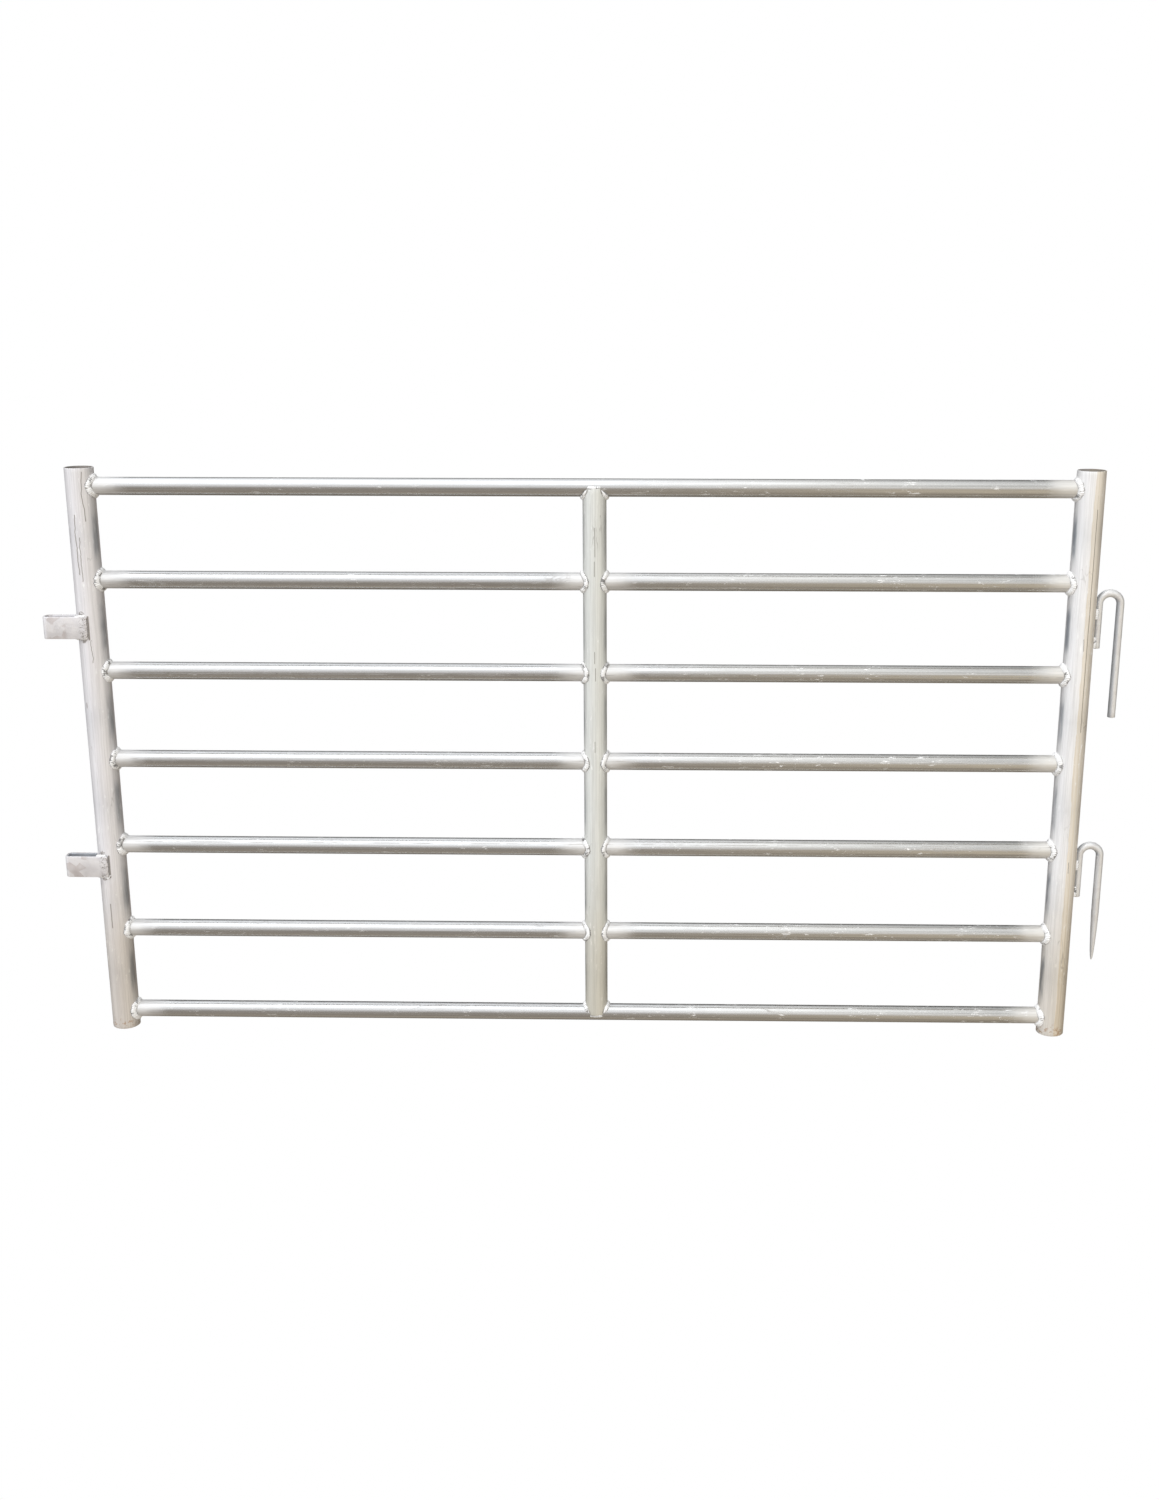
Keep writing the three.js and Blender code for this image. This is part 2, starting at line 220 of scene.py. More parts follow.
def add_tube(shape, place, radius, wall, length, seats=(0, 0), sides=72, step=10 * MM,
             seam=1.0, weld_distance=None):
    """A tube with a hollow bore. place(t, lift, side) gives a point, t along the axis and side
    along Y. seats are the radii of the round members that its two ends are cut to fit, and seam
    is the angle of the tube's own welded seam."""
    angles = tube_angles(sides, seam)
    turns = [abs((a - seam + math.pi) % (2 * math.pi) - math.pi) for a in angles]
    rings = []
    marks = {"weld_distance": [], "bore": [], "seam_distance": []}
    for share, inset, r, bore in tube_profile(radius, wall, length, step):
        ring = []
        distances = []
        for angle in angles:
            side = r * math.sin(angle)
            start = seat_height(seats[0], side) + inset
            end = length - seat_height(seats[1], side) - inset
            t = start + (end - start) * share
            point = place(t, r * math.cos(angle), side)
            swell = 1 - SWELL * (1 - wobble(point, SWELL_WAVES, 1)) * (1 - bore)
            point = place(t, r * swell * math.cos(angle), side * swell)
            ring.append(point)
            distances.append(weld_distance(point, t - start, end - t))
        rings.append(ring)
        marks["weld_distance"].append(distances)
        marks["bore"].append([float(bore)] * len(angles))
        marks["seam_distance"].append([turn * radius for turn in turns])
    shape.add_rings(rings, closed=True, marks=marks)


def upright_place(x, y, z0, direction=1):
    """Places along an upright: t runs from z0, upwards, or down where direction is -1."""
    return lambda t, lift, side: Vector((x + lift, y + side, z0 + direction * t))


def rail_place(x0, y, z, direction=1):
    """Places along a rail: t runs from x0 to the right, or to the left where direction is -1."""
    return lambda t, lift, side: Vector((x0 + direction * t, y + side, z + lift))


def nearest_weld(welds):
    """A function that gives a point's distance from the rim of the nearest of these welds."""
    def distance(point, from_start, from_end):
        return max(0.0, min((point - place).length - reach for place, reach in welds))
    return distance


def rail_welds(upright, side):
    """Middle and radius of each rail's weld on an upright, to its left (-1) or right (+1)."""
    x = upright.x + side * upright.radius
    return [(Vector((x, upright.y, z)), RAIL_RADIUS) for z in RAIL_HEIGHTS.values()]


def fitting_welds(nodes):
    welds = []
    for node in nodes:
        low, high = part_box(node)
        welds.append(((low + high) / 2, max(high - low) / 2 - SMALL_WELD_INSET))
    return welds


def build_posts(left_metal, right_metal):
    loop_welds = [f"weld_{h}_loop_{part}" for h in ("upper", "lower") for part in ("top", "bottom")]
    hook_welds = [f"weld_{h}_hook_{i}_front" for h in ("upper", "lower") for i in (1, 2)]
    for node, post, inward, fitted, seam, material in (
        ("left_end_post", LEFT_POST, 1, loop_welds, 2.2, left_metal),
        ("right_end_post", RIGHT_POST, -1, hook_welds, -0.72, right_metal),
    ):
        shape = Shape()
        welds = rail_welds(post, inward) + fitting_welds(fitted)
        add_tube(shape, upright_place(post.x, post.y, post.low.z), post.radius, POST_WALL,
                 post.high.z - post.low.z, sides=96, step=6 * MM, seam=seam,
                 weld_distance=nearest_weld(welds))
        shape.piece(node, material, "post_tube")


def build_stay(material):
    shape = Shape()
    welds = rail_welds(STAY, -1) + rail_welds(STAY, 1)
    add_tube(shape, upright_place(STAY.x, STAY.y, STAY.low.z), STAY.radius, STAY_WALL,
             STAY.high.z - STAY.low.z, seats=(STAY_COPE, STAY_COPE), sides=128, step=6 * MM,
             seam=2.0, weld_distance=nearest_weld(welds))
    shape.piece("centre_stay", material, "stay_tube")


def rail_ends(number, side):
    """The two uprights that a rail runs between."""
    if number in THROUGH_RAILS:
        return LEFT_POST, RIGHT_POST
    return (LEFT_POST, STAY) if side == "left" else (STAY, RIGHT_POST)


def build_rails(material):
    for number in RAIL_NUMBERS:
        for side in ("left",) if number in THROUGH_RAILS else ("left", "right"):
            first, last = rail_ends(number, side)
            shape = Shape()
            add_tube(shape, rail_place(first.x, first.y, RAIL_HEIGHTS[number]), RAIL_RADIUS,
                     RAIL_WALL, last.x - first.x, seats=(first.radius, last.radius),
                     seam=3.5 + 0.37 * number,
                     weld_distance=lambda point, start, end: max(0.0, min(start, end)))
            shape.piece(rail_node(number, side), material, "rail_tube")


# -------------------------------- welds

Station = namedtuple("Station", "centre out across size")


def add_bead(shape, stations, closed, size, seed, sides=14):
    """A bead of weld along stations, lumpy and rippled as it froze, and marked for painted shade
    at its toes and in its hollows. size holds its width and height."""
    width = size["width"]
    height = size["height"]
    rings = []
    painted_shades = []
    travelled = 0.0
    previous = stations[0].centre
    for station in stations:
        travelled += (station.centre - previous).length
        previous = station.centre
        ring = []
        painted_shade = []
        for k in range(sides):
            angle = 2 * math.pi * k / sides
            phase = travelled / RIPPLE_PITCH * 2 * math.pi + 1.6 * math.sin(angle)
            spot = station.centre + station.across * (width * math.cos(angle))
            lump = 0.34 * wobble(spot, 90, seed) + 0.20 * wobble(spot, 260, seed + 1)
            grown = station.size * (1 + lump + 0.09 * math.cos(phase))
            offset = station.across * (width * grown * math.cos(angle))
            offset += station.out * (height * grown * math.sin(angle))
            ring.append(station.centre + offset)
            # Painted shade at the bead's toes and in the hollows between its lumps.
            toe = smoothstep(abs(math.cos(angle)), 0.62, 0.86)
            hollow = smoothstep(-lump - 0.05 * math.cos(phase), 0.07, 0.17)
            painted_shade.append(max(toe, hollow))
        rings.append(ring)
        painted_shades.append(painted_shade)
    marks = {"painted_shade": painted_shades, "weld_distance": [[0.0] * sides] * len(rings)}
    shape.add_rings(rings, closed=closed, marks=marks)


def saddle_stations(place, tube_radius, seat_radius, steps=220):
    """Where a round tube lands on a wider round member that crosses it."""
    stations = []
    for i in range(steps):
        angle = 2 * math.pi * i / steps
        lift = math.cos(angle) * tube_radius
        side = math.sin(angle) * tube_radius
        depth = seat_height(seat_radius, side)
        origin = place(0, 0, 0)
        tube_normal = (place(0, math.cos(angle), math.sin(angle)) - origin).normalized()
        seat_normal = (place(depth, 0, side) - origin).normalized()
        up_tube = (seat_normal - tube_normal * seat_normal.dot(tube_normal)).normalized()
        up_seat = (tube_normal - seat_normal * seat_normal.dot(tube_normal)).normalized()
        out = (up_tube + up_seat).normalized()
        across = (up_tube - up_seat).normalized()
        centre = place(depth, lift, side) + out * WELD_LIFT
        stations.append(Station(centre, out, across, 1.0))
    return stations


def build_rail_welds(material):
    seed = 0
    for number in RAIL_NUMBERS:
        ends = [("left_post", LEFT_POST, 1), ("right_post", RIGHT_POST, -1)]
        if number not in THROUGH_RAILS:
            ends += [("stay_left", STAY, -1), ("stay_right", STAY, 1)]
        for name, upright, direction in ends:
            seed += 1
            shape = Shape()
            place = rail_place(upright.x, upright.y, RAIL_HEIGHTS[number], direction)
            stations = saddle_stations(place, RAIL_RADIUS, upright.radius)
            size = STAY_WELD if upright is STAY else POST_WELD
            add_bead(shape, stations, closed=True, size=size, seed=seed)
            shape.piece(f"weld_rail_{number}_{name}", material, "weld")


def stay_weld_stations(place, steps=260):
    """Round the stay's fish-mouthed end: in the corner above the rail at the sides, and in the
    step from ear down to rail at the front and back."""
    stations = []
    for i in range(steps):
        angle = 2 * math.pi * i / steps
        lift = math.cos(angle)
        side = math.sin(angle)
        ear = smoothstep(abs(side) * STAY.radius, RAIL_RADIUS - 3 * MM, RAIL_RADIUS + 2 * MM)
        rim = seat_height(STAY_COPE, side * STAY.radius)
        radius = STAY.radius + (1 - ear) * STAY_WELD_OUT - ear * EAR_WELD_IN
        centre = place(rim - ear * EAR_WELD_DOWN, lift * radius, side * radius)
        origin = place(0, 0, 0)
        radial = (place(0, lift, side) - origin).normalized()
        axial = (place(1, 0, 0) - origin).normalized()
        up = 1 - 2 * ear
        out = (radial + axial * up).normalized()
        across = (radial * up - axial).normalized()
        stations.append(Station(centre, out, across, 1 - 0.3 * ear))
    return stations


def build_stay_welds(material):
    for node, number, direction in (
        ("weld_stay_top", RAIL_NUMBERS[0], -1),
        ("weld_stay_bottom", RAIL_NUMBERS[-1], 1),
    ):
        shape = Shape()
        place = upright_place(STAY.x, STAY.y, RAIL_HEIGHTS[number], direction)
        stations = stay_weld_stations(place)
        add_bead(shape, stations, closed=True, size=STAY_WELD, seed=40 + number)
        shape.piece(node, material, "weld")


def add_run(shape, start, end, out, across, size, seed, steps=40):
    """A straight run of weld, with round ends."""
    stations = []
    for i in range(steps + 1):
        share = i / steps
        grown = max(0.12, math.sqrt(max(0.0, 1 - (2 * share - 1) ** 4)))
        stations.append(Station(start.lerp(end, share), out, across, grown))
    add_bead(shape, stations, closed=False, size=size, seed=seed)


def add_spatter(shape, centre, seed, spread, count, radius):
    """Small round beads of spatter scattered about a place."""
    sides = 10
    rows = 6
    for i in range(count):
        jump = Vector([wobble((i * 0.37, axis * 1.9, 0.5), 3.1, seed) for axis in range(3)])
        middle = centre + Vector([jump[axis] * 1.8 * spread[axis] for axis in range(3)])
        r = radius * (0.75 + 0.5 * wobble((i * 0.71, 0.2, 0.9), 2.7, seed + 1))
        rings = []
        for row in range(1, rows):
            polar = math.pi * row / rows
            ring = []
            for k in range(sides):
                turn = 2 * math.pi * k / sides
                way = Vector((math.sin(polar) * math.cos(turn), math.sin(polar) * math.sin(turn),
                              math.cos(polar)))
                ring.append(middle + way * r * (1 + 0.2 * wobble(middle + way * r, 500, seed)))
            rings.append(ring)
        shape.add_rings(rings)


# -------------------------------- strap loops

def rounded_section(width, height, corner, steps=3):
    """The outline of a flat bar with rounded edges, as (across, up) pairs."""
    outline = []
    for cx, cy, start in ((1, 1, 0), (-1, 1, 1), (-1, -1, 2), (1, -1, 3)):
        for angle in arc_steps(start * math.pi / 2, (start + 1) * math.pi / 2, steps):
            x = cx * (width / 2 - corner) + corner * math.cos(angle)
            y = cy * (height / 2 - corner) + corner * math.sin(angle)
            outline.append((x, y))
    return outline


def strap_path(post, low, high):
    """The strap's middle line seen from above, from the front leg's end to the back leg's end,
    as (x, y, direction) with the direction of travel as an angle."""
    half = STRAP_THICKNESS / 2
    bend = STRAP_BEND + half
    front = low.y + half
    back = high.y - half
    turn_x = low.x + STRAP_THICKNESS + STRAP_BEND
    back_end = post.x - post.radius - GAP

    def corner(middle_y, start, end):
        return [(turn_x + bend * math.cos(a), middle_y + bend * math.sin(a), a - math.pi / 2)
                for a in arc_steps(start, end, 8)[1:]]

    path = [(x, front, math.pi) for x in arc_steps(high.x, turn_x, 14)]
    path += corner(front + bend, -math.pi / 2, -math.pi)
    path += [(turn_x - bend, y, math.pi / 2) for y in arc_steps(front + bend, back - bend, 2)[1:]]
    path += corner(back - bend, math.pi, math.pi / 2)
    path += [(x, back, 0.0) for x in arc_steps(turn_x, back_end, 10)[1:]]
    return path


def build_loop(name, material, inner_shade):
    """The last argument says how much shade is painted on the inner faces of the slot."""
    low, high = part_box(name)
    height = high.z - low.z
    middle = (low.z + high.z) / 2
    path = strap_path(LEFT_POST, low, high)
    rounding = [(STRAP_EDGE, 0), (STRAP_EDGE * 0.3, STRAP_EDGE * 0.3), (0, STRAP_EDGE)]
    stations = [(path[0], inset, slide) for inset, slide in rounding]
    stations += [(place, 0, 0) for place in path[1:-1]]
    stations += [(path[-1], inset, -slide) for inset, slide in reversed(rounding)]
    rings = []
    shade_marks = []
    for (x, y, direction), inset, slide in stations:
        ahead = Vector((math.cos(direction), math.sin(direction), 0))
        across = Vector((-ahead.y, ahead.x, 0))
        centre = Vector((x, y, middle)) + ahead * slide
        corner = max(STRAP_LEAST_EDGE, STRAP_EDGE - inset)
        outline = rounded_section(STRAP_THICKNESS - 2 * inset, height - 2 * inset, corner)
        rings.append([centre + across * a + Vector((0, 0, b)) for a, b in outline])
        # Painted shade on the faces inside the slot.
        shade_marks.append([inner_shade * smoothstep(-a, 0, STRAP_THICKNESS / 2) for a, b in outline])
    shape = Shape()
    distances = [[max(0.0, LEFT_POST.x - point.x) if point.y < LEFT_POST.y else Shape.FAR
                  for point in ring] for ring in rings]
    shape.add_rings(rings, marks={"weld_distance": distances, "painted_shade": shade_marks})
    shape.piece(name, material, "fittings")


def build_loop_welds(name, material, chunky):
    """The welds along the front leg's top and bottom edges, and down the back leg's end."""
    low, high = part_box(name)
    up = Vector((0, 0, 1))
    seed = 60 if chunky else 50
    for part, sign in (("top", 1), ("bottom", -1)):
        node = f"weld_{name}_{part}"
        weld_low, weld_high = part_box(node)
        edge = high.z if sign > 0 else low.z
        out = (up * sign + Vector((0, -0.6, 0))).normalized()
        across = Vector((0, out.z, -out.y))
        y = low.y + STRAP_THICKNESS
        shape = Shape()
        start = Vector((weld_low.x + MM, y, edge))
        end = Vector((weld_high.x - MM, y, edge))
        add_run(shape, start, end, out, across, LOOP_WELD, seed + sign)
        if chunky and sign < 0:
            corner = Vector((weld_high.x - 4 * MM, low.y + 3.5 * MM, edge))
            add_spatter(shape, corner, seed, **SPATTER)
        shape.piece(node, material, "weld")
    node = f"weld_{name}_back"
    weld_low, weld_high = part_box(node)
    x = (weld_low.x + weld_high.x) / 2
    y = high.y + MM
    out = Vector((-0.7, 0.7, 0)).normalized()
    across = Vector((0.7, 0.7, 0)).normalized()
    shape = Shape()
    start = Vector((x, y, weld_low.z + 2 * MM))
    end = Vector((x, y, weld_high.z - 2 * MM))
    add_run(shape, start, end, out, across, POST_WELD, seed + 3)
    shape.piece(node, material, "weld")


# -------------------------------- rod hooks

def hook_stations(low, high, pointed):
    """Places along the rod's middle line, from the welded leg's end to the tip, as
    (x, z, angle of the rod's outer side, radius)."""
    radius = (high.y - low.y) / 2
    bend = (high.x - low.x) / 2 - radius
    middle_x = (low.x + high.x) / 2
    bend_z = high.z - radius - bend
    welded_x = low.x + radius
    free_x = high.x - radius
    welded_end = bend_z - WELDED_LEG
    stations = [(welded_x, welded_end, math.pi, radius - ROD_EDGE)]
    stations += [(welded_x, welded_end + ROD_EDGE * 0.3, math.pi, radius - ROD_EDGE * 0.3)]
    stations += [(welded_x, z, math.pi, radius)
                 for z in arc_steps(welded_end + ROD_EDGE, bend_z, 14)[:-1]]
    for angle in arc_steps(math.pi, 0, 36):
        stations.append((middle_x + bend * math.cos(angle), bend_z + bend * math.sin(angle),
                         angle, radius))
    if pointed:
        taper_z = low.z + POINT_LENGTH
        stations += [(free_x, z, 0.0, radius) for z in arc_steps(bend_z, taper_z, 16)[1:]]
        for share in arc_steps(1, 0, 24)[1:]:
            distance = share * share * POINT_LENGTH
            narrow = max(TIP_RADIUS * (0.4 + 0.6 * share), radius * (share * share) ** 0.4)
            stations.append((free_x, low.z + distance, 0.0, min(radius, narrow)))
    else:
        stations += [(free_x, z, 0.0, radius)
                     for z in arc_steps(bend_z, low.z + ROD_EDGE, 20)[1:]]
        stations += [(free_x, low.z + ROD_EDGE * 0.3, 0.0, radius - ROD_EDGE * 0.3)]
        stations += [(free_x, low.z, 0.0, radius - ROD_EDGE)]
    return stations


def build_hook(name, material, sides=32):
    low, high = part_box(name)
    y = (low.y + high.y) / 2
    pointed = name == "lower_hook"
    rings = []
    shade_marks = []
    for x, z, outward, radius in hook_stations(low, high, pointed):
        ring = []
        for k in range(sides):
            angle = 2 * math.pi * k / sides
            reach = radius * math.cos(angle)
            ring.append(Vector((x + reach * math.cos(outward), y + radius * math.sin(angle),
                                z + reach * math.sin(outward))))
        rings.append(ring)
        # Painted shade on the side of the rod that faces the post.
        shade_marks.append(hook_side_shade(ring, Vector((x, y, z)), radius, pointed and outward == 0))
    shape = Shape()
    shape.add_rings(rings, marks={"painted_shade": shade_marks})
    shape.piece(name, material, "fittings")


def hook_side_shade(ring, centre, radius, faint):
    """Painted shade on the side of the rod that faces the post."""
    strength = 0.45 if faint else 1.0
    return [strength * smoothstep((centre.x - point.x) / radius, 0.15, 0.7) for point in ring]


def build_hook_welds(name, material):
    """Beads in the grooves between the post and the hook's short leg, in front and behind."""
    low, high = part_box(name)
    radius = (high.y - low.y) / 2
    leg = Vector((low.x + radius - RIGHT_POST.x, (low.y + high.y) / 2 - RIGHT_POST.y, 0))
    outward = leg.normalized()
    sideways = Vector((-outward.y, outward.x, 0))
    for i in (1, 2):
        for face, sign in (("front", -1), ("back", 1)):
            node = f"weld_{name}_{i}_{face}"
            weld_low, weld_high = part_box(node)
            groove = outward * (RIGHT_POST.radius + HOOK_WELD_OUT)
            groove += sideways * (sign * HOOK_WELD_ASIDE)
            foot = Vector((RIGHT_POST.x, RIGHT_POST.y, 0)) + groove
            start = foot + Vector((0, 0, weld_low.z + MM))
            end = foot + Vector((0, 0, weld_high.z - MM))
            shape = Shape()
            add_run(shape, start, end, sideways * sign, outward, HOOK_WELD, 70 + 4 * i + sign)
            shape.piece(node, material, "weld")


# -------------------------------- materials

class Nodes:
    """A node tree, with a short method for each kind of node."""

    def __init__(self, tree):
        self.tree = tree

    def feed(self, socket, value):
        if isinstance(value, bpy.types.NodeSocket):
            self.tree.links.new(value, socket)
        else:
            socket.default_value = value

    def node(self, kind, inputs=None, **settings):
        node = self.tree.nodes.new(f"ShaderNode{kind}")
        for key, value in settings.items():
            setattr(node, key, value)
        for key, value in (inputs or {}).items():
            self.feed(node.inputs[key], value)
        return node

    def axes(self, vector):
        return self.node("SeparateXYZ", {0: vector}).outputs

    def noise(self, place, per_metre, detail=3.0, roughness=0.55, distortion=0.0):
        inputs = {"Vector": place, "Scale": per_metre, "Detail": detail, "Roughness": roughness,
                  "Distortion": distortion}
        return self.node("TexNoise", inputs).outputs[0]

    def cells(self, place, per_metre):
        """Distance from the nearest cell's middle, and the cell's own random number."""
        node = self.node("TexVoronoi", {"Vector": place, "Scale": per_metre})
        number = self.node("SeparateColor", {0: node.outputs["Color"]}).outputs[0]
        return node.outputs["Distance"], number

    def mark(self, name):
        return self.node("Attribute", attribute_name=name).outputs["Fac"]

    def math(self, operation, a, b=0.0, c=0.0):
        return self.node("Math", {0: a, 1: b, 2: c}, operation=operation).outputs[0]

    def away(self, value, middle):
        """How far a value is from a middle, to either side."""
        return self.math("ABSOLUTE", self.math("SUBTRACT", value, middle))

    def product(self, first, *others):
        for other in others:
            first = self.math("MULTIPLY", first, other)
        return first

    def largest(self, first, *others):
        for other in others:
            first = self.math("MAXIMUM", first, other)
        return first

    def ramp(self, value, low, high, start=0.0, end=1.0):
        """Goes smoothly from start to end as value goes from low to high."""
        inputs = {"Value": value, "From Min": low, "From Max": high, "To Min": start, "To Max": end}
        node = self.node("MapRange", inputs, interpolation_type="SMOOTHSTEP")
        return node.outputs[0]

    def blend(self, factor, a, b):
        return self.node("Mix", {0: factor, 2: a, 3: b}).outputs[0]

    def tint(self, factor, a, b, mode="MIX"):
        """The colour a, changed into the colour b as far as the factor says."""
        inputs = {0: factor, 6: a, 7: b}
        return self.node("Mix", inputs, data_type="RGBA", blend_type=mode).outputs[2]

    def shade(self, factor, colour, shade):
        """The colour, multiplied by a shade as far as the factor says."""
        return self.tint(factor, colour, shade, "MULTIPLY")

    def bump(self, height, distance, normal=None):
        inputs = {"Height": height, "Distance": distance, "Strength": 1.0}
        if normal is not None:
            inputs["Normal"] = normal
        return self.node("Bump", inputs).outputs[0]


class Material(Nodes):
    """A material's nodes, round one Principled shader."""

    def __init__(self, name):
        self.material = bpy.data.materials.new(name)
        self.material.use_nodes = True
        super().__init__(self.material.node_tree)
        self.shader = self.tree.nodes["Principled BSDF"]
        self.place = self.node("TexCoord").outputs["Object"]
        self.x, self.y, self.z = self.axes(self.place)

    def scaled(self, scale):
        return self.node("Mapping", {"Vector": self.place, "Scale": scale}).outputs[0]

    def stretched(self, along, times):
        """The place, with marks drawn out this many times along an axis."""
        return self.scaled([1.0 / times if axis == along else 1.0 for axis in "xyz"])

    def finish(self, colour, roughness, metallic, normal):
        for name, value in (("Base Color", colour), ("Roughness", roughness),
                            ("Metallic", metallic), ("Normal", normal)):
            if value is not None:
                self.feed(self.shader.inputs[name], value)
        return self.material


def grey(value, warmth=0.0):
    """A linear grey, warm when warmth is positive and cool when it is negative."""
    return (value * (1 + warmth), value, value * (1 - warmth), 1.0)


ZINC = grey(0.80, -0.012)
ZINC_DULL = grey(0.64)
PAINT = grey(0.82, 0.004)
PAINT_DULL = grey(0.72, 0.006)
SCUFF = grey(0.95)
RAIL_RIGHT_TINT = (1.0, 0.982, 0.94, 1.0)  # the right halves of the rails are a little yellower
# Dark colour for real marks, and for painted shade in the bores, beside the welds and under the
# strap ends.
GRIME_AND_SHADE = (0.17, 0.145, 0.12, 1.0)
DUST = (0.80, 0.755, 0.68, 1.0)  # what mud and rain leave of the light, near the ground
DUST_TOP = 0.42  # metres
# A tint that is partly bare, unpainted zinc and partly a painted reflection of tan ground.
WARM_STRIP = (0.90, 0.82, 0.69, 1.0)
CORNER_SHADE_REACH = (4.6 * MM, 6.2 * MM)  # painted shade in the corners fades between these distances from a weld's root
SCUFF_STRETCH = 5  # scuffs, runs and specks are this much longer than they are wide
GRAIN_STRETCH = 40  # rolling marks
LINE_STRETCH = 600  # drawing lines run on from end to end
PAINTED_SHADE_BLUE = (0.40, 0.43, 0.47, 1.0)  # dark, bluish painted shade and painted reflection of dark surroundings
FLAKED = (0.62, 0.56, 0.545, 1.0)  # steel under the loops' paint
RUST = (0.40, 0.24, 0.13, 1.0)
RUST_TOP = 0.03  # metres

# A thin line up the front of an upright. aside, from the upright's axis, width and sway are in
# millimetres, and its low and high ends in metres.
Vein = namedtuple("Vein", "aside low high width sway waves_per_metre")
# A band of painted shade and painted reflection of dark surroundings, up the front of an
# upright near its edge. aside and half its width are in millimetres.
ShadeBand = namedtuple("ShadeBand", "aside half amount")


class ZincTube(Material):
    """Zinc coated tube, with drawing marks along it. shine goes from 0, dull, to 1. Silver paint
    reaches about paint_reach from the welds."""

    def __init__(self, name, along, shine, paint_reach):
        super().__init__(name)
        self.shine = shine
        self.lines = self.stretched(along, LINE_STRETCH)
        self.drawn = self.stretched(along, SCUFF_STRETCH)
        grain = self.stretched(along, GRAIN_STRETCH)
        self.line = self.noise(self.lines, 520, 3, 0.7)
        self.streak = self.noise(grain, 330, 4, 0.7)
        self.fine = self.noise(grain, 1500, 4)
        self.patches = self.noise(self.place, 22, 3)
        ragged = self.math("MULTIPLY_ADD", self.noise(self.place, 22, 5, 0.6), 0.05, -0.025)
        reach = self.math("ADD", self.mark("weld_distance"), ragged)
        self.paint = self.ramp(reach, 0.3 * paint_reach, 1.45 * paint_reach, 1.0, 0.0)

    def base(self):
        """Bare zinc with shiny drawing lines and a faint spangle, and paint near the welds."""
        shininess = self.ramp(self.line, 0.36, 0.64, 0.55 * (1 - self.shine), 1.0)
        metal = self.tint(shininess, ZINC_DULL, ZINC)
        metal = self.tint(self.ramp(self.streak, 0.35, 0.65, 0.0, 0.5), metal, ZINC_DULL)
        spangle = self.cells(self.place, 150)[1]
        metal = self.tint(self.product(spangle, 0.12), metal, ZINC_DULL)
        thin = self.math("ADD", self.streak, self.product(self.line, 0.6))
        coat = self.tint(self.ramp(thin, 0.68, 0.92), PAINT, PAINT_DULL)
        return self.tint(self.paint, metal, coat)

    def beyond(self, x):
        """One to the right of x on a tube, with a ragged and streaky edge."""
        ragged = self.product(self.math("SUBTRACT", self.noise(self.drawn, 60, 4, 0.7), 0.5), 0.012)
        past = self.math("SUBTRACT", self.math("ADD", self.x, ragged), x)
        return self.product(self.ramp(past, 0.0, 0.002), self.ramp(self.line, 0.3, 0.7, 0.6, 1.0))

    def scuffs(self):
        """Pale scuffs, drawn out along the tube and gathered in patches."""
        scuff = self.ramp(self.noise(self.drawn, 230, 5, 0.75), 0.58, 0.64)
        return self.product(scuff, self.ramp(self.noise(self.place, 16, 2), 0.46, 0.58, 0.0, 0.85))

    def vein(self, axis_x, vein):
        """Wanders by its sway, and fades out past its two ends."""
        along = self.scaled((0.0, 0.0, 1.0))
        wander = self.math("SUBTRACT", self.noise(along, vein.waves_per_metre, 3), 0.5)
        middle = self.math("MULTIPLY_ADD", wander, 4 * vein.sway * MM, axis_x + vein.aside * MM)
        width = vein.width * MM
        line = self.ramp(self.away(self.x, middle), 0.5 * width, width, 1.0, 0.0)
        above = self.ramp(self.z, vein.low - 2 * MM, vein.low)
        below = self.ramp(self.z, vein.high, vein.high + 2 * MM, 1.0, 0.0)
        front = self.ramp(self.y, 0.0, MM, 1.0, 0.0)
        return self.product(line, above, below, front)

    def shade_band(self, axis_x, shade_band):
        """Painted shade and painted reflection, patchy, and stopping short of the welds."""
        offset = self.away(self.x, axis_x + shade_band.aside * MM)
        half = shade_band.half * MM
        across = self.ramp(offset, 0.3 * half, half, shade_band.amount, 0.0)
        clear = self.ramp(self.mark("weld_distance"), 0.018, 0.045)
        patchy = self.ramp(self.noise(self.drawn, 70, 3), 0.38, 0.6, 0.35, 1.0)
        front = self.ramp(self.y, -2 * MM, 2 * MM, 1.0, 0.0)
        return self.product(across, clear, patchy, front)

    def dust(self):
        """Thickest at the foot of an upright."""
        height = self.math("ADD", self.z, self.product(self.patches, 0.1))
        return self.ramp(height, 0.15, DUST_TOP, 0.9, 0.0)

    def rust(self):
        """Spots at the foot of an upright."""
        low = self.ramp(self.z, 0.3 * RUST_TOP, RUST_TOP, 1.0, 0.0)
        return self.product(low, self.ramp(self.noise(self.place, 130, 5, 0.7), 0.52, 0.6, 0, 0.75))

    def runs(self):
        """Outlines of dried runs."""
        outline = self.away(self.noise(self.drawn, 42, 3, 0.5, 0.6), 0.5)
        outline = self.ramp(outline, 0.0, 0.012, 1.0, 0.0)
        return self.product(outline, self.ramp(self.noise(self.place, 9, 1), 0.58, 0.68), 0.4)

    def specks(self):
        distance, number = self.cells(self.drawn, 40)
        dot = self.ramp(distance, 0.035, 0.06, 1.0, 0.0)
        return self.product(dot, self.ramp(number, 0.6, 0.62), 0.8)

    def corner_shade(self):
        """Painted shade in the corners beside the welds."""
        near = self.ramp(self.mark("weld_distance"), *CORNER_SHADE_REACH, 1.0, 0.0)
        return self.product(near, self.ramp(self.noise(self.place, 170, 3), 0.38, 0.55, 0.15, 0.75))

